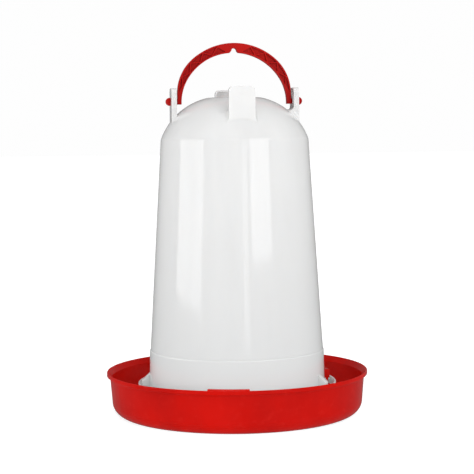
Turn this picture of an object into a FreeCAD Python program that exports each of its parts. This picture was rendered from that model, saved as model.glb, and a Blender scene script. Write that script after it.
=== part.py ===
import FreeCAD, Part
import math
import os

import Sketcher

# A gravity drinker for poultry: a tank that is filled upside down on its four feet, twisted onto a
# tray by a bayonet and turned over, with a bail handle that folds down inside the ring of feet.
# Millimetres. Origin at the centre of the tray's underside, +Z up, +X along the handle's hinge axis.

SIZES = {
    # tray
    "tray_wall": 2.4,
    "tray_floor_r": 144.0,      # flat underside
    "tray_corner_r": 18.0,
    "tray_side_top_r": 164.5,   # outside of the wall, where it flares into the lip
    "tray_side_top_z": 49.0,
    "tray_lip_r": 168.6,
    "tray_lip_low_z": 51.5,
    "tray_flare_r": 4.0,
    "tray_lip_edge_r": 1.2,
    "tray_rim_z": 56.0,
    # bayonet
    "hook_turn": 18.0,          # degrees from the handle's axis to the middle of the first hook
    "hook_mid_r": 121.9,
    "hook_stem": 3.0,
    "hook_head": 6.6,
    "hook_edge_r": 1.2,
    "hook_root_r": 1.5,
    "hook_top_z": 50.0,
    "hook_span": 24.0,          # degrees
    "unlock_turn": 24.5,        # degrees of twist from locked to the wide end of the slot
    "hook_play": 0.3,           # between a hook's head and the floor of the gutter
    "slot_play": 0.5,           # between a hook and its slot, inside and outside
    "slot_end_play": 0.25,      # degrees
    "left_gusset_turn": 179.0,  # degrees from the handle's axis
    "right_gusset_turn": -30.0,
    "gusset_span": 4.0,         # degrees
    "gusset_r": 123.5,
    "gusset_high_z": 55.0,
    "gusset_low_z": 45.0,
    # tank
    "tank_wall": 2.2,
    "crown_z": 407.2,
    "crown_round": 25.0,        # between the flat crown and the dome
    "dome_r": 83.2,
    "dome_centre_x": 16.65,
    "dome_centre_z": 325.85,
    "shoulder_r": 94.9,
    "shoulder_z": 354.1,
    "shoulder_round": 12.0,
    "side_low_r": 111.7,        # foot of the long tapered side
    "side_low_z": 83.6,
    "bead_r": 112.7,            # step where the side meets the upright skirt
    "bead_z": 81.8,
    "bead_round": 2.2,
    "skirt_r": 113.4,
    "gutter_z": 38.4,           # floor of the flange's gutter, upper face
    "gutter_corner_r": 1.2,
    "flange_r": 128.2,
    "flange_top_z": 41.0,
    "flange_low_z": 30.4,
    "water_port_width": 24.0,
    "water_port_corner_r": 3.0,
    "water_port_top_z": 25.0,
    "water_port_turn": 45.0,    # degrees from the handle's axis
    # feet
    "foot_root_z": 360.0,       # buried in the dome
    "foot_top_z": 419.4,
    "foot_low_r": 82.0,         # outer face, at the root
    "foot_top_r": 81.7,         # outer face, at the top
    "foot_in_r": 75.0,
    "foot_width": 32.7,
    "foot_corner_r": 6.0,
    "foot_web": 2.4,
    "foot_blend_r": 5.5,
    "foot_recess_low_z": 388.0,
    "pivot_boss_r": 7.5,
    "pivot_boss_sink": 0.5,     # into the bottom of the recess
    # handle
    "pivot_z": 402.4,
    "pin_r": 3.5,
    "pin_play": 0.08,
    "pin_root": 3.0,            # into the handle's leg
    "pin_head_r": 5.2,
    "pin_head_rim": 1.0,        # straight part of the head, under its ball
    "pin_head_gap": 0.4,        # between the foot's outer face and the head
    "bail_out_w": 73.1,         # half width of the outer arch
    "bail_out_spring": 10.1,    # height over the pivot at which the outer arch begins
    "bail_out_side_r": 58.8,
    "bail_out_crown_r": 80.4,
    "bail_in_w": 68.1,
    "bail_in_spring": -1.6,
    "bail_in_side_r": 58.7,
    "bail_in_crown_r": 70.0,
    "bail_depth": 10.8,
    "bail_leg_drop": 3.5,
    "bail_web": 5.4,
    "bail_rim": 1.9,
    "rib_half_turn": 0.8,       # degrees, half a rib's width
    "rib_first": 17.0,          # degrees from the hinge to the middle of the first recess
    "rib_pitch": 8.0,           # degrees from one recess to the next
    "rib_point": 0.7,           # from a recess's point to the rim it points at
    "notch_mouth": 11.0,
    "notch_top": 7.0,
    "notch_rise": 5.7,
    # cutting
    "overcut": 1.0,             # how far a cut begins outside the solid
}

HOOKS = 3
FEET = 4
RECESSES_PER_SIDE = 8
NEAR = 0.01    # how close counts as touching, where an edge is looked up

doc = FreeCAD.newDocument("poultry_drinker")
sheet = doc.addObject("Spreadsheet::Sheet", "sizes")
for row, (alias, number) in enumerate(SIZES.items(), start=1):
    sheet.set(f"A{row}", alias)
    sheet.set(f"B{row}", str(number))
    sheet.setAlias(f"B{row}", alias)
doc.recompute()


class Size:
    """A number together with the spreadsheet expression that gives it."""

    def __init__(self, value, text):
        self.value = float(value)
        self.text = text

    @staticmethod
    def of(thing):
        return thing if isinstance(thing, Size) else Size(thing, repr(float(thing)))

    def join(self, other, sign, value):
        return Size(value, f"({self.text} {sign} {Size.of(other).text})")

    def __add__(self, other):
        return self.join(other, "+", self.value + Size.of(other).value)

    def __sub__(self, other):
        return self.join(other, "-", self.value - Size.of(other).value)

    def __mul__(self, other):
        return self.join(other, "*", self.value * Size.of(other).value)

    def __truediv__(self, other):
        return self.join(other, "/", self.value / Size.of(other).value)

    def __neg__(self):
        return Size(-self.value, f"(-1 * {self.text})")


class Sizes:
    """The sheet's cells as attributes, for building expressions."""

    def __getattr__(self, alias):
        return Size(sheet.get(alias), f"sizes.{alias}")


d = Sizes()


def root(size):
    return Size(math.sqrt(size.value), f"sqrt({size.text})")


def cosine(degrees):
    return Size(math.cos(math.radians(degrees.value)), f"cos({degrees.text} * 1 deg)")


def sine(degrees):
    return Size(math.sin(math.radians(degrees.value)), f"sin({degrees.text} * 1 deg)")


def new_body(label):
    body = doc.addObject("PartDesign::Body", label)
    body.Label = label
    return body


def new_sketch(body, name, role, lift=None, rise=None, swing=None):
    """A sketch on one of the body's own origin planes: lifted along the plane's normal, raised along
    the sketch's own vertical, or swung about that vertical by an angle."""
    sketch = body.newObject("Sketcher::SketchObject", name)
    plane = next(f for f in body.Origin.OriginFeatures if f.Role == role)
    sketch.AttachmentSupport = [(plane, "")]
    sketch.MapMode = "FlatFace"
    if swing is not None:
        upright = FreeCAD.Rotation(FreeCAD.Vector(0, 1, 0), swing.value)
        sketch.AttachmentOffset = FreeCAD.Placement(FreeCAD.Vector(), upright)
        sketch.setExpression("AttachmentOffset.Rotation.Angle", swing.text)
    if lift is not None:
        sketch.setExpression("AttachmentOffset.Base.z", lift.text)
    if rise is not None:
        sketch.setExpression("AttachmentOffset.Base.y", rise.text)
    return sketch


def pin_point(sketch, geometry, point, x, y):
    """Fix a point of the sketch at (x, y), each bound to its expression."""
    for kind, size in (("DistanceX", x), ("DistanceY", y)):
        size = Size.of(size)
        index = sketch.addConstraint(Sketcher.Constraint(kind, -1, 1, geometry, point, size.value))
        sketch.setExpression(f"Constraints[{index}]", size.text)


def outline(sketch, corners):
    """A closed outline. Each corner is (x, y), or (x, y, r, side): the edge that ends there is an arc
    of radius r, and side is +1 where the arc's centre lies left of the way from its start to its end."""
    count = len(corners)
    first = sketch.GeometryCount
    for i in range(count):
        start = corners[i - 1]
        end = corners[i]
        ax, ay = Size.of(start[0]).value, Size.of(start[1]).value
        bx, by = Size.of(end[0]).value, Size.of(end[1]).value
        a = FreeCAD.Vector(ax, ay, 0)
        b = FreeCAD.Vector(bx, by, 0)
        if len(end) == 2:
            sketch.addGeometry(Part.LineSegment(a, b))
            pin_point(sketch, first + i, 2, end[0], end[1])
            continue
        radius = Size.of(end[2])
        chord = b - a
        reach = math.sqrt(max(radius.value ** 2 - chord.Length ** 2 / 4, 0.0))
        left = FreeCAD.Vector(-chord.y, chord.x, 0).normalize()
        centre = (a + b) * 0.5 + left * (reach * end[3])
        middle = centre - left * (radius.value * end[3])
        sketch.addGeometry(Part.Arc(a, middle, b))
        # an arc of a sketch runs counter-clockwise, so an arc with its centre on the right is reversed
        pin_point(sketch, first + i, 2 if end[3] > 0 else 1, end[0], end[1])
        index = sketch.addConstraint(Sketcher.Constraint("Radius", first + i, radius.value))
        sketch.setExpression(f"Constraints[{index}]", radius.text)
    for i in range(count):
        before_end = 2 if len(corners[i - 1]) == 2 or corners[i - 1][3] > 0 else 1
        own_start = 1 if len(corners[i]) == 2 or corners[i][3] > 0 else 2
        before = first + (i - 1) % count
        sketch.addConstraint(Sketcher.Constraint("Coincident", before, before_end, first + i, own_start))


def circle(sketch, x, y, radius):
    x, y, radius = Size.of(x), Size.of(y), Size.of(radius)
    centre = FreeCAD.Vector(x.value, y.value, 0)
    index = sketch.addGeometry(Part.Circle(centre, FreeCAD.Vector(0, 0, 1), radius.value))
    pin_point(sketch, index, 3, x, y)
    constraint = sketch.addConstraint(Sketcher.Constraint("Radius", index, radius.value))
    sketch.setExpression(f"Constraints[{constraint}]", radius.text)


def turn(body, kind, name, sketch, angle=None, midplane=True, axis="V_Axis"):
    """A revolved feature: kind is Revolution or Groove; a full turn where no angle is given."""
    feature = body.newObject(f"PartDesign::{kind}", name)
    feature.Profile = sketch
    feature.ReferenceAxis = (sketch, [axis])
    feature.Midplane = midplane
    feature.Angle = 360
    if angle is not None:
        feature.setExpression("Angle", angle.text)
    doc.recompute()
    return feature


def extrude(body, kind, name, sketch, length, midplane=True, reverse=False):
    """A Pad or a Pocket of the stated length."""
    feature = body.newObject(f"PartDesign::{kind}", name)
    feature.Profile = sketch
    feature.Midplane = midplane
    feature.Reversed = reverse
    feature.setExpression("Length", length.text)
    doc.recompute()
    return feature


def around(body, name, features, count, angle=360):
    """Repeat features about Z."""
    pattern = body.newObject("PartDesign::PolarPattern", name)
    pattern.Originals = features
    axis = next(f for f in body.Origin.OriginFeatures if f.Role == "Z_Axis")
    pattern.Axis = (axis, [""])
    pattern.Angle = angle
    pattern.Occurrences = count
    body.Tip = pattern
    doc.recompute()
    return pattern


def mirror_in_x(body, name, features):
    """Repeat features on the other side of the YZ plane."""
    mirrored = body.newObject("PartDesign::Mirrored", name)
    mirrored.Originals = features
    plane = next(f for f in body.Origin.OriginFeatures if f.Role == "YZ_Plane")
    mirrored.MirrorPlane = (plane, [""])
    body.Tip = mirrored
    doc.recompute()
    return mirrored


def fillet(body, name, radius, chosen):
    """Round the edges of the body's tip that the test chosen(edge) picks."""
    base = body.Tip
    names = [f"Edge{i}" for i, edge in enumerate(base.Shape.Edges, start=1) if chosen(edge)]
    if not names:
        raise RuntimeError(f"{name}: no edge found")
    feature = body.newObject("PartDesign::Fillet", name)
    feature.Base = (base, names)
    feature.setExpression("Radius", Size.of(radius).text)
    doc.recompute()
    return feature


def middle_of(edge):
    return edge.valueAt((edge.FirstParameter + edge.LastParameter) / 2)


# ---------------------------------------------------------------- tray

def make_tray():
    body = new_body("drinking_tray")
    add_bowl(body)
    add_hooks(body)
    body.setExpression("Placement.Rotation.Angle", d.hook_turn.text)
    return body


def add_bowl(body):
    """Floor, round corner, leaning wall and a thin lip that flares outwards."""
    corner_end_r = d.tray_floor_r + d.tray_corner_r
    lip_in_r = d.tray_lip_r - d.tray_lip_edge_r * 2
    lip_round_z = d.tray_rim_z - d.tray_lip_edge_r
    section = new_sketch(body, "bowl_section", "XZ_Plane")
    outline(section, [
        (0, d.tray_wall),
        (0, 0),
        (d.tray_floor_r, 0),
        (corner_end_r, d.tray_corner_r, d.tray_corner_r, 1),
        (d.tray_side_top_r, d.tray_side_top_z),
        (d.tray_lip_r, d.tray_lip_low_z, d.tray_flare_r, -1),
        (d.tray_lip_r, lip_round_z),
        (d.tray_lip_r - d.tray_lip_edge_r, d.tray_rim_z, d.tray_lip_edge_r, 1),
        (lip_in_r, lip_round_z, d.tray_lip_edge_r, 1),
        (d.tray_side_top_r - d.tray_wall, d.tray_side_top_z),
        (corner_end_r - d.tray_wall, d.tray_corner_r),
        (d.tray_floor_r, d.tray_wall, d.tray_corner_r - d.tray_wall, -1),
    ])
    turn(body, "Revolution", "bowl", section)


def add_hooks(body):
    """Upright T-shaped hooks on the floor, which the tank's slots turn onto."""
    head_low_z = d.gutter_z + d.hook_play
    head_round_z = d.hook_top_z - d.hook_edge_r
    head_in_r = d.hook_mid_r - d.hook_head / 2
    head_out_r = d.hook_mid_r + d.hook_head / 2
    stem_in_r = d.hook_mid_r - d.hook_stem / 2
    stem_out_r = d.hook_mid_r + d.hook_stem / 2
    section = new_sketch(body, "hook_section", "XZ_Plane")
    outline(section, [
        (stem_in_r, d.tray_wall / 2),
        (stem_out_r, d.tray_wall / 2),
        (stem_out_r, head_low_z),
        (head_out_r, head_low_z),
        (head_out_r, head_round_z),
        (head_out_r - d.hook_edge_r, d.hook_top_z, d.hook_edge_r, 1),
        (head_in_r + d.hook_edge_r, d.hook_top_z),
        (head_in_r, head_round_z, d.hook_edge_r, 1),
        (head_in_r, head_low_z),
        (stem_in_r, head_low_z),
    ])
    hook = turn(body, "Revolution", "hook", section, d.hook_span)
    around(body, "hooks", [hook], HOOKS)

    def is_root(edge):
        """The two long edges of a stem, on the tray's floor."""
        middle = middle_of(edge)
        out = math.hypot(middle.x, middle.y)
        beside_stem = math.isclose(abs(out - d.hook_mid_r.value), d.hook_stem.value / 2, abs_tol=NEAR)
        return beside_stem and math.isclose(middle.z, d.tray_wall.value, abs_tol=NEAR)

    fillet(body, "hook_roots", d.hook_root_r, is_root)


# ---------------------------------------------------------------- tank


def make_tank():
    body = new_body("fount_tank")
    add_tank_outside(body)
    add_feet(body)
    hollow_tank(body)
    add_foot_recesses(body)
    add_pivots(body)
    add_bayonet(body)
    add_water_ports(body)
    return body


def crown_points(inset):
    """Radius and height where the dome meets the rounding of the crown, and the radius where that
    rounding meets the flat, on a surface that lies this far inside the tank's outside."""
    reach = d.dome_r - d.crown_round
    climb = d.crown_z - d.crown_round - d.dome_centre_z
    step = root(reach * reach - climb * climb)
    radius = d.dome_r - inset
    meet_r = d.dome_centre_x + step * radius / reach
    meet_z = d.dome_centre_z + climb * radius / reach
    return meet_r, meet_z, d.dome_centre_x + step


def add_tank_outside(body):
    """The tank as a solid of revolution, with its skirt, gutter flange and dome."""
    flange_in_r = d.flange_r - d.tank_wall
    flange_round = d.tank_wall / 2
    gutter_low_z = d.gutter_z - d.tank_wall
    dome_end_r, dome_end_z, flat_r = crown_points(0)
    section = new_sketch(body, "outside_section", "XZ_Plane")
    outline(section, [
        (0, d.tray_wall),
        (d.skirt_r, d.tray_wall),
        (d.skirt_r, gutter_low_z),
        (flange_in_r, gutter_low_z),
        (flange_in_r, d.flange_low_z),
        (d.flange_r, d.flange_low_z),
        (d.flange_r, d.flange_top_z - flange_round),
        (d.flange_r - flange_round, d.flange_top_z, flange_round, 1),
        (flange_in_r, d.flange_top_z - flange_round, flange_round, 1),
        (flange_in_r, d.gutter_z),
        (d.skirt_r + d.gutter_corner_r, d.gutter_z),
        (d.skirt_r, d.gutter_z + d.gutter_corner_r, d.gutter_corner_r, -1),
        (d.bead_r, d.bead_z),
        (d.side_low_r, d.side_low_z, d.bead_round, 1),
        (d.shoulder_r, d.shoulder_z),
        (dome_end_r, dome_end_z, d.dome_r, 1),
        (flat_r, d.crown_z, d.crown_round, 1),
        (0, d.crown_z),
    ])
    turn(body, "Revolution", "outside", section)

    def is_shoulder(edge):
        level = edge.BoundBox.ZLength < NEAR
        return level and math.isclose(middle_of(edge).z, d.shoulder_z.value, abs_tol=NEAR)

    fillet(body, "shoulder", d.shoulder_round, is_shoulder)


def add_feet(body):
    """Four upright feet on the dome. The tank stands on them while it is filled, and the pair on the
    X axis carries the handle."""
    section = new_sketch(body, "foot_section", "XZ_Plane")
    outline(section, [
        (d.foot_in_r, d.foot_root_z),
        (d.foot_low_r, d.foot_root_z),
        (d.foot_top_r, d.foot_top_z),
        (d.foot_in_r, d.foot_top_z),
    ])
    foot = extrude(body, "Pad", "foot", section, d.foot_width)
    around(body, "feet", [foot], FEET)

    def beside_foot(point):
        sideways = min(abs(point.x), abs(point.y))
        return math.isclose(sideways, d.foot_width.value / 2, abs_tol=NEAR)

    def is_top_corner(edge):
        middle = middle_of(edge)
        return beside_foot(middle) and math.isclose(middle.z, d.foot_top_z.value, abs_tol=NEAR)

    fillet(body, "foot_corners", d.foot_corner_r, is_top_corner)

    def is_base(edge):
        """An edge where a side or a face of a foot meets the dome."""
        middle = middle_of(edge)
        out = math.hypot(middle.x, middle.y)
        from_centre = math.hypot(out - d.dome_centre_x.value, middle.z - d.dome_centre_z.value)
        on_dome = math.isclose(from_centre, d.dome_r.value, abs_tol=NEAR)
        box = edge.BoundBox
        spans_foot = math.isclose(max(box.XLength, box.YLength), d.foot_width.value, abs_tol=NEAR)
        return on_dome and (beside_foot(middle) or spans_foot)

    fillet(body, "foot_blends", d.foot_blend_r, is_base)


def hollow_tank(body):
    """Take the inside out of the tank, leaving an even wall."""
    inner_dome_r = d.dome_r - d.tank_wall
    skirt_in_r = d.skirt_r - d.tank_wall
    shoulder_in_r = d.shoulder_r - d.tank_wall
    shoulder_out = shoulder_in_r - d.dome_centre_x
    shoulder_in_z = d.dome_centre_z + root(inner_dome_r * inner_dome_r - shoulder_out * shoulder_out)
    dome_end_r, dome_end_z, flat_r = crown_points(d.tank_wall)
    crown_in_z = d.crown_z - d.tank_wall
    section = new_sketch(body, "inside_section", "XZ_Plane")
    outline(section, [
        (0, 0),
        (skirt_in_r, 0),
        (skirt_in_r, d.gutter_z),
        (d.side_low_r - d.tank_wall, d.side_low_z),
        (shoulder_in_r, shoulder_in_z),
        (dome_end_r, dome_end_z, inner_dome_r, 1),
        (flat_r, crown_in_z, d.crown_round - d.tank_wall, 1),
        (0, crown_in_z),
    ])
    turn(body, "Groove", "inside", section)


def add_foot_recesses(body):
    """A shallow recess in the inner face of each foot, so that its walls are even too."""
    half = d.foot_width / 2 - d.foot_web
    top_z = d.foot_top_z - d.foot_web
    corner = d.foot_corner_r - d.foot_web
    sketch = new_sketch(body, "foot_recess_outline", "YZ_Plane", lift=d.foot_in_r - d.overcut)
    outline(sketch, [
        (-half, d.foot_recess_low_z),
        (half, d.foot_recess_low_z),
        (half, top_z - corner),
        (half - corner, top_z, corner, 1),
        (-half + corner, top_z),
        (-half, top_z - corner, corner, 1),
    ])
    depth = d.foot_top_r - d.foot_web - d.foot_in_r
    recess = extrude(body, "Pocket", "foot_recess", sketch, depth + d.overcut, midplane=False, reverse=True)
    around(body, "foot_recesses", [recess], FEET)


def add_pivots(body):
    """A boss in each ear's recess, with the bore that a pin of the handle snaps into."""
    recess_depth = d.foot_top_r - d.foot_web - d.foot_in_r
    boss = new_sketch(body, "pivot_boss_outline", "YZ_Plane", lift=d.foot_in_r)
    circle(boss, 0, d.pivot_z, d.pivot_boss_r)
    pad = extrude(body, "Pad", "pivot_boss", boss, recess_depth + d.pivot_boss_sink, midplane=False)
    around(body, "pivot_bosses", [pad], count=2)

    bore = new_sketch(body, "pivot_bore_outline", "YZ_Plane", lift=d.foot_in_r - d.overcut)
    circle(bore, 0, d.pivot_z, d.pin_r + d.pin_play)
    through = d.foot_low_r - d.foot_in_r + d.overcut * 2
    cut = extrude(body, "Pocket", "pivot_bore", bore, through, midplane=False, reverse=True)
    around(body, "pivot_bores", [cut], count=2)


def add_bayonet(body):
    """Keyhole slots in the gutter's floor for the tray's hooks, and two gussets between the slots."""
    below_z = d.gutter_z - d.tank_wall - d.overcut
    above_z = d.gutter_z + d.overcut

    def slot(name, half_width, span, middle):
        section = new_sketch(body, f"{name}_section", "XZ_Plane", swing=middle)
        outline(section, [
            (d.hook_mid_r - half_width, below_z),
            (d.hook_mid_r + half_width, below_z),
            (d.hook_mid_r + half_width, above_z),
            (d.hook_mid_r - half_width, above_z),
        ])
        cut = turn(body, "Groove", name, section, span)
        around(body, f"{name}s", [cut], HOOKS)

    ends = d.slot_end_play * 2
    slot("head_slot", d.hook_head / 2 + d.slot_play, d.hook_span + ends, d.hook_turn - d.unlock_turn)
    slot("stem_slot", d.hook_stem / 2 + d.slot_play, d.hook_span + d.unlock_turn + ends,
         d.hook_turn - d.unlock_turn / 2)

    def gusset(name, middle):
        root_r = d.skirt_r - d.tank_wall / 2
        root_z = d.gutter_z - d.tank_wall / 2
        section = new_sketch(body, f"{name}_section", "XZ_Plane", swing=middle)
        outline(section, [
            (root_r, root_z),
            (d.gusset_r, root_z),
            (d.gusset_r, d.gusset_low_z),
            (root_r, d.gusset_high_z),
        ])
        body.Tip = turn(body, "Revolution", name, section, d.gusset_span)

    gusset("left_gusset", d.left_gusset_turn)
    gusset("right_gusset", d.right_gusset_turn)


def add_water_ports(body):
    """Openings in the lower edge of the skirt, which let water out and air in."""
    half = d.water_port_width / 2
    corner = d.water_port_corner_r
    port = new_sketch(body, "water_port_outline", "XZ_Plane", swing=d.water_port_turn)
    outline(port, [
        (-half, 0),
        (half, 0),
        (half, d.water_port_top_z - corner),
        (half - corner, d.water_port_top_z, corner, 1),
        (-half + corner, d.water_port_top_z),
        (-half, d.water_port_top_z - corner, corner, 1),
    ])
    cut = extrude(body, "Pocket", "water_port", port, d.flange_r * 2)
    around(body, "water_ports", [cut], count=2, angle=90)


# ---------------------------------------------------------------- handle


class Arch:
    """A three-centred arch about the Z axis, with heights measured from the pivot: an upright leg, a
    side arc and a crown arc, each tangent to the next. An inset draws it that far inside."""

    def __init__(self, half_width, spring, side_r, crown_r, inset=0.0):
        self.half_width = half_width - inset
        self.spring = spring
        self.side_r = side_r - inset
        self.crown_r = crown_r - inset
        self.side_x = half_width - side_r
        between = crown_r - side_r
        rise = root(between * between - self.side_x * self.side_x)
        self.crown_centre_z = spring - rise
        self.top_z = self.crown_centre_z + self.crown_r
        # where the side arc meets the crown arc
        self.join_x = self.side_x * self.crown_r / between
        self.join_z = self.crown_centre_z + rise * self.crown_r / between

    def arc_r(self, angle):
        """Radius of the arc that lies in this direction from the pivot."""
        join = math.degrees(math.atan2(self.join_z.value, self.join_x.value))
        return self.side_r if angle.value < join else self.crown_r

    def point(self, angle, inward=0.0):
        """The point in this direction from the pivot, or that far short of it."""
        on_side = self.arc_r(angle) is self.side_r
        centre_x = self.side_x if on_side else Size.of(0)
        centre_z = self.spring if on_side else self.crown_centre_z
        radius = self.arc_r(angle)
        along = centre_x * cosine(angle) + centre_z * sine(angle)
        offset = centre_x * centre_x + centre_z * centre_z
        reach = along + root(along * along - offset + radius * radius) - inward
        return reach * cosine(angle), reach * sine(angle)


def outer_arch(inset=0.0):
    return Arch(d.bail_out_w, d.bail_out_spring, d.bail_out_side_r, d.bail_out_crown_r, inset)


def inner_arch(inset=0.0):
    return Arch(d.bail_in_w, d.bail_in_spring, d.bail_in_side_r, d.bail_in_crown_r, inset)


def make_handle():
    body = new_body("bail_handle")
    add_bow(body)
    add_recesses(body)
    add_pins(body)
    return body


def add_bow(body):
    """The bow between two arches, with the notch for hanging in the middle of its inner edge."""
    out = outer_arch()
    inn = inner_arch()
    leg_z = -d.bail_leg_drop
    mouth_x = d.notch_mouth / 2
    mouth_z = inn.crown_centre_z + root(inn.crown_r * inn.crown_r - mouth_x * mouth_x)
    notch_x = d.notch_top / 2
    notch_z = inn.top_z + d.notch_rise - notch_x
    sketch = new_sketch(body, "bow_outline", "XZ_Plane", rise=d.pivot_z)
    outline(sketch, [
        (out.half_width, leg_z),
        (out.half_width, out.spring),
        (out.join_x, out.join_z, out.side_r, 1),
        (-out.join_x, out.join_z, out.crown_r, 1),
        (-out.half_width, out.spring, out.side_r, 1),
        (-out.half_width, leg_z),
        (-inn.half_width, leg_z),
        (-inn.half_width, inn.spring),
        (-inn.join_x, inn.join_z, inn.side_r, -1),
        (-mouth_x, mouth_z, inn.crown_r, -1),
        (-notch_x, notch_z),
        (0, notch_z + notch_x, notch_x, -1),
        (notch_x, notch_z, notch_x, -1),
        (mouth_x, mouth_z),
        (inn.join_x, inn.join_z, inn.crown_r, -1),
        (inn.half_width, inn.spring, inn.side_r, -1),
        (inn.half_width, leg_z),
    ])
    extrude(body, "Pad", "bow", sketch, d.bail_depth)


def add_recesses(body):
    """Rows of three-cornered recesses in both faces, which leave a web, a rim all round and a zigzag
    rib from rim to rim. The first and last bends of the zigzag run into the solid ends."""
    out = outer_arch(d.bail_rim)
    inn = inner_arch(-d.bail_rim)

    def add_recess(sketch, number):
        middle = d.rib_first + d.rib_pitch * number
        reach = d.rib_pitch - d.rib_half_turn
        low = middle - reach
        high = middle + reach
        if number % 2 == 0:
            outline(sketch, [inn.point(middle, -d.rib_point), out.point(low),
                             (*out.point(high), out.arc_r(middle), 1)])
        else:
            outline(sketch, [inn.point(high), out.point(middle, d.rib_point), inn.point(low)])

    for name, side in (("front", 1), ("back", -1)):
        face = (d.bail_depth / 2) * side
        sketch = new_sketch(body, f"{name}_recess_outline", "XZ_Plane", lift=face, rise=d.pivot_z)
        for number in range(RECESSES_PER_SIDE):
            add_recess(sketch, number)
        depth = (d.bail_depth - d.bail_web) / 2
        cut = extrude(body, "Pocket", f"{name}_recess", sketch, depth, midplane=False, reverse=side < 0)
        mirror_in_x(body, f"{name}_recesses", [cut])


def add_pins(body):
    """The snap pins: a short shaft through the foot's bore, and a round head outside it."""
    # the foot's outer face at the height of the pin
    lean = (d.foot_low_r - d.foot_top_r) / (d.foot_top_z - d.foot_root_z)
    face_x = d.foot_low_r - lean * (d.pivot_z - d.foot_root_z)
    head_x = face_x + d.pin_head_gap
    ball_x = head_x + d.pin_head_rim
    root_x = d.bail_in_w + d.pin_root
    pin = new_sketch(body, "pin_section", "XZ_Plane", rise=d.pivot_z)
    outline(pin, [
        (root_x, 0),
        (ball_x + d.pin_head_r, 0),
        (ball_x, d.pin_head_r, d.pin_head_r, 1),
        (head_x, d.pin_head_r),
        (head_x, d.pin_r),
        (root_x, d.pin_r),
    ])
    revolved = turn(body, "Revolution", "pin", pin, axis="H_Axis")
    mirror_in_x(body, "pins", [revolved])


# ---------------------------------------------------------------- build and write

parts = [make_tray(), make_tank(), make_handle()]
doc.recompute()

failed = [thing.Name for thing in doc.Objects if "Invalid" in thing.State or "Error" in thing.State]
if failed:
    raise RuntimeError(f"these objects failed: {failed}")
os.makedirs("parts", exist_ok=True)
for part in parts:
    shape = part.Shape
    if shape.isNull() or not shape.isValid() or len(shape.Solids) != 1:
        raise RuntimeError(f"{part.Label}: its shape is not one valid solid")
    shape.exportStep(f"parts/{part.Label}.step")
    box = shape.BoundBox
    print(f"{part.Label}: {shape.Volume / 1000:.1f} cm3, z {box.ZMin:.1f} to {box.ZMax:.1f}")
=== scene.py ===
import math

import bpy
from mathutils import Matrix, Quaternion, Vector

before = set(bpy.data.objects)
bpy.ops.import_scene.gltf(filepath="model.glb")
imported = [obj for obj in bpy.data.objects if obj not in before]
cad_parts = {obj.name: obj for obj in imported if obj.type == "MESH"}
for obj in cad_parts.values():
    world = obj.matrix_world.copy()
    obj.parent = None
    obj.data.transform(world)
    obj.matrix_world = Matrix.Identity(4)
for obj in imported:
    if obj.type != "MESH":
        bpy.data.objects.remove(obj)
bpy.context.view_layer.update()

WHITE = (1, 1, 1, 1)

# the camera: metres from the tank's axis, lens in millimetres
CAMERA_AZIMUTH = math.radians(-7.0)
CAMERA_DISTANCE = 1.876
CAMERA_HEIGHT = 0.3547
CAMERA_ROLL = math.radians(-0.62)
AIM = Vector((0.0018, 0, 0.2278))
LENS = 110.5

# name, azimuth from the camera's side, elevation, width, height (degrees, metres), power
SOFTBOXES = (
    ("left_softbox", -68, 9, 1.22, 0.75, 6.4),
    ("right_softbox", 37, 13.3, 0.85, 0.75, 5.2),
    ("strip_light", 13.7, 3, 0.2, 0.53, 0.45),
)
SOFTBOX_TARGET = Vector((0, 0, 0.25))
SOFTBOX_DISTANCE = 1.6

SUN_SIZE = math.radians(60)
SUN_POWER = 1.3
SUN_TURN = (math.radians(28), 0, math.radians(12))

# strength of the white surround as light, mirrored in a gloss, and as the camera sees it
SURROUND_LIGHT = 0.46
SURROUND_MIRRORED = 0.2
SURROUND_SEEN = 0.99

FLOOR_REACH = 30
FLOOR_WHITE = (0.9, 0.9, 0.9, 1)
# strength of the floor's glow as light, and as the camera sees it
FLOOR_LIGHT = 0.12
FLOOR_SEEN = 0.45

# tank heights over which painted shade fades: the plastic is painted slightly grey low down and
# milky higher up
TANK_LOW_Z = 0.03
TANK_HIGH_Z = 0.30

# sockets of a Mix node whose data type is RGBA
MIX_FACTOR = 0
MIX_FIRST = 6
MIX_SECOND = 7
MIX_RESULT = 2


def make_camera():
    data = bpy.data.cameras.new("camera")
    data.lens = LENS
    camera = bpy.data.objects.new("camera", data)
    bpy.context.scene.collection.objects.link(camera)
    away = Vector((math.sin(CAMERA_AZIMUTH), -math.cos(CAMERA_AZIMUTH), 0))
    camera.location = away * CAMERA_DISTANCE + Vector((0, 0, CAMERA_HEIGHT))
    turn = (AIM - camera.location).to_track_quat("-Z", "Y")
    camera.rotation_mode = "QUATERNION"
    camera.rotation_quaternion = turn @ Quaternion((0, 0, 1), CAMERA_ROLL)
    bpy.context.scene.camera = camera


def add_light(name, data):
    light = bpy.data.objects.new(name, data)
    bpy.context.scene.collection.objects.link(light)
    return light


def add_softbox(name, azimuth, elevation, width, height, power):
    """A rectangular lamp that faces the tank."""
    data = bpy.data.lights.new(name, "AREA")
    data.shape = "RECTANGLE"
    data.size = width
    data.size_y = height
    data.energy = power
    light = add_light(name, data)
    a = CAMERA_AZIMUTH + math.radians(azimuth)
    e = math.radians(elevation)
    away = Vector((math.sin(a) * math.cos(e), -math.cos(a) * math.cos(e), math.sin(e)))
    light.location = SOFTBOX_TARGET + away * SOFTBOX_DISTANCE
    light.rotation_mode = "QUATERNION"
    light.rotation_quaternion = (-away).to_track_quat("-Z", "Y")


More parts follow.
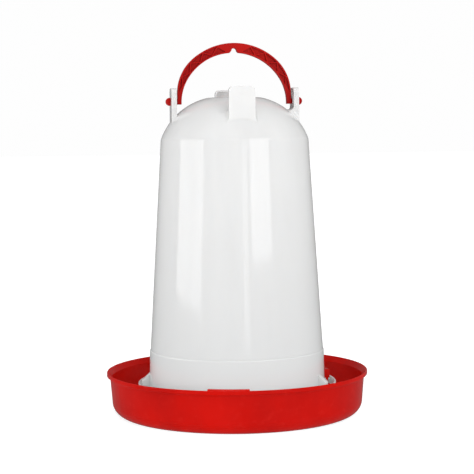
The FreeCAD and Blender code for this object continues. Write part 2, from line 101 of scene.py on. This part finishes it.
def make_floor():
    mesh = bpy.data.meshes.new("floor")
    sides = ((-1, -1), (1, -1), (1, 1), (-1, 1))
    corners = [(x * FLOOR_REACH, y * FLOOR_REACH, 0) for x, y in sides]
    mesh.from_pydata(corners, [], [(0, 1, 2, 3)])
    floor = bpy.data.objects.new("floor", mesh)
    bpy.context.scene.collection.objects.link(floor)
    material, shader = new_material("floor_paint")
    shader.inputs["Base Color"].default_value = FLOOR_WHITE
    shader.inputs["Roughness"].default_value = 0.9
    shader.inputs["Specular IOR Level"].default_value = 0.1
    shader.inputs["Emission Color"].default_value = WHITE
    # the floor glows as a backdrop, but lights the part less than the camera sees
    nodes = material.node_tree.nodes
    links = material.node_tree.links
    path = nodes.new("ShaderNodeLightPath")
    glow = nodes.new("ShaderNodeMapRange")
    glow.inputs["To Min"].default_value = FLOOR_LIGHT
    glow.inputs["To Max"].default_value = FLOOR_SEEN
    links.new(path.outputs["Is Camera Ray"], glow.inputs["Value"])
    links.new(glow.outputs["Result"], shader.inputs["Emission Strength"])
    mesh.materials.append(material)
    # the floor is too bright to be mirrored in the gloss
    floor.visible_glossy = False


def make_surround():
    """White all round, which lights more strongly than it is mirrored."""
    world = bpy.data.worlds.new("studio")
    world.use_nodes = True
    nodes = world.node_tree.nodes
    links = world.node_tree.links
    path = nodes.new("ShaderNodeLightPath")
    surround = nodes["Background"]
    surround.inputs["Color"].default_value = WHITE
    surround.inputs["Strength"].default_value = SURROUND_LIGHT
    for ray, strength in (("Is Glossy Ray", SURROUND_MIRRORED), ("Is Camera Ray", SURROUND_SEEN)):
        other = nodes.new("ShaderNodeBackground")
        other.inputs["Color"].default_value = WHITE
        other.inputs["Strength"].default_value = strength
        mix = nodes.new("ShaderNodeMixShader")
        links.new(path.outputs[ray], mix.inputs["Fac"])
        links.new(surround.outputs[0], mix.inputs[1])
        links.new(other.outputs["Background"], mix.inputs[2])
        surround = mix
    links.new(surround.outputs[0], nodes["World Output"].inputs["Surface"])
    bpy.context.scene.world = world


def add_overhead():
    """A wide sun that lights softly, but is no disc in the gloss."""
    data = bpy.data.lights.new("overhead", "SUN")
    data.angle = SUN_SIZE
    data.energy = SUN_POWER
    sun = add_light("overhead", data)
    sun.rotation_mode = "XYZ"
    sun.rotation_euler = SUN_TURN
    sun.visible_glossy = False


def new_material(name):
    material = bpy.data.materials.new(name)
    material.use_nodes = True
    return material, material.node_tree.nodes["Principled BSDF"]


class Plastic:
    """A moulded plastic whose colour, gloss and skin vary a little over the surface."""

    def __init__(self, name, roughness, specular):
        self.material, self.shader = new_material(name)
        self.tree = self.material.node_tree
        self.place = self.add("ShaderNodeTexCoord").outputs["Object"]
        self.shader.inputs["Specular IOR Level"].default_value = specular
        smears = self.spread(self.noise(35, 4), roughness * 0.85, roughness * 1.2)
        self.link(smears, self.shader.inputs["Roughness"])

    def add(self, kind):
        return self.tree.nodes.new(kind)

    def link(self, start, end):
        self.tree.links.new(start, end)

    def noise(self, scale, detail, stretch=(1, 1, 1)):
        """A noise in object coordinates; scale counts its cells per metre."""
        mapping = self.add("ShaderNodeMapping")
        mapping.inputs["Scale"].default_value = stretch
        texture = self.add("ShaderNodeTexNoise")
        texture.inputs["Scale"].default_value = scale
        texture.inputs["Detail"].default_value = detail
        self.link(self.place, mapping.inputs["Vector"])
        self.link(mapping.outputs["Vector"], texture.inputs["Vector"])
        return texture.outputs["Fac"]

    def spread(self, factor, low, high, source=(0.3, 0.7)):
        """The factor, stretched from its source range to low..high."""
        node = self.add("ShaderNodeMapRange")
        node.inputs["From Min"].default_value = source[0]
        node.inputs["From Max"].default_value = source[1]
        node.inputs["To Min"].default_value = low
        node.inputs["To Max"].default_value = high
        self.link(factor, node.inputs["Value"])
        return node.outputs["Result"]

    def mixed(self, factor, first, second):
        """Two colours, or a colour socket and a colour, mixed by the factor."""
        mix = self.add("ShaderNodeMix")
        mix.data_type = "RGBA"
        for index, colour in ((MIX_FIRST, first), (MIX_SECOND, second)):
            if isinstance(colour, tuple):
                mix.inputs[index].default_value = (*colour, 1)
            else:
                self.link(colour, mix.inputs[index])
        self.link(factor, mix.inputs[MIX_FACTOR])
        return mix.outputs[MIX_RESULT]

    def colour(self, socket):
        self.link(socket, self.shader.inputs["Base Color"])

    def skin(self, *layers):
        """Fine relief: each layer is (factor, height in metres)."""
        normal = None
        for factor, height in layers:
            bump = self.add("ShaderNodeBump")
            bump.inputs["Distance"].default_value = height
            bump.inputs["Strength"].default_value = 1
            self.link(factor, bump.inputs["Height"])
            if normal is not None:
                self.link(normal, bump.inputs["Normal"])
            normal = bump.outputs["Normal"]
        self.link(normal, self.shader.inputs["Normal"])


def red_plastic(name, base, deep, faded, roughness, specular):
    """A cloudy red with paler worn patches and a fine orange peel."""
    plastic = Plastic(name, roughness, specular)
    cloudy = plastic.spread(plastic.noise(14, 6), 0, 1, (0.36, 0.64))
    mottled = plastic.mixed(cloudy, base, deep)
    worn = plastic.spread(plastic.noise(120, 6), 0, 0.35, (0.56, 0.75))
    plastic.colour(plastic.mixed(worn, mottled, faded))
    plastic.skin((plastic.noise(420, 2), 0.00004), (plastic.noise(60, 2), 0.00012))
    return plastic.material


def milky_plastic():
    """A pale translucent plastic with upright streaks, a few darker specks, and painted shade
    that darkens it towards the bottom.
    """
    plastic = Plastic("tank_plastic", 0.07, 0.5)
    separate = plastic.add("ShaderNodeSeparateXYZ")
    plastic.link(plastic.place, separate.inputs["Vector"])
    # painted shade: the colour is darker towards the bottom of the tank and lighter towards the
    # top, as the light falls
    rise = plastic.spread(separate.outputs["Z"], 0, 1, (TANK_LOW_Z, TANK_HIGH_Z))
    milky_with_painted_shade = plastic.mixed(rise, (0.69, 0.695, 0.695), (0.80, 0.80, 0.795))
    streaks = plastic.spread(plastic.noise(26, 5, (1, 1, 0.12)), 0, 0.35, (0.38, 0.66))
    streaked = plastic.mixed(streaks, milky_with_painted_shade, (0.70, 0.70, 0.70))
    specks = plastic.spread(plastic.noise(500, 2), 0, 0.35, (0.72, 0.82))
    plastic.colour(plastic.mixed(specks, streaked, (0.62, 0.62, 0.60)))
    plastic.shader.inputs["Subsurface Weight"].default_value = 0.5
    plastic.shader.inputs["Subsurface Radius"].default_value = (1, 0.95, 0.9)
    plastic.shader.inputs["Subsurface Scale"].default_value = 0.004
    plastic.skin((plastic.noise(350, 2), 0.000012), (plastic.noise(30, 2, (1, 1, 0.3)), 0.00015))
    return plastic.material


def finish_node(node, material):
    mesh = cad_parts[node].data
    mesh.materials.clear()
    mesh.materials.append(material)


make_camera()
make_floor()
make_surround()
add_overhead()
for softbox in SOFTBOXES:
    add_softbox(*softbox)
# keeps the tray's red off the foot of the pale tank
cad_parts["drinking_tray"].visible_diffuse = False
finish_node("drinking_tray", red_plastic(
    "tray_plastic", base=(0.61, 0.004, 0.001), deep=(0.49, 0.003, 0.001),
    faded=(0.62, 0.015, 0.01), roughness=0.22, specular=0.12))
finish_node("fount_tank", milky_plastic())
finish_node("bail_handle", red_plastic(
    "handle_plastic", base=(0.47, 0.006, 0.004), deep=(0.38, 0.004, 0.003),
    faded=(0.48, 0.02, 0.015), roughness=0.4, specular=0.1))
bpy.context.scene.view_settings.view_transform = "Standard"
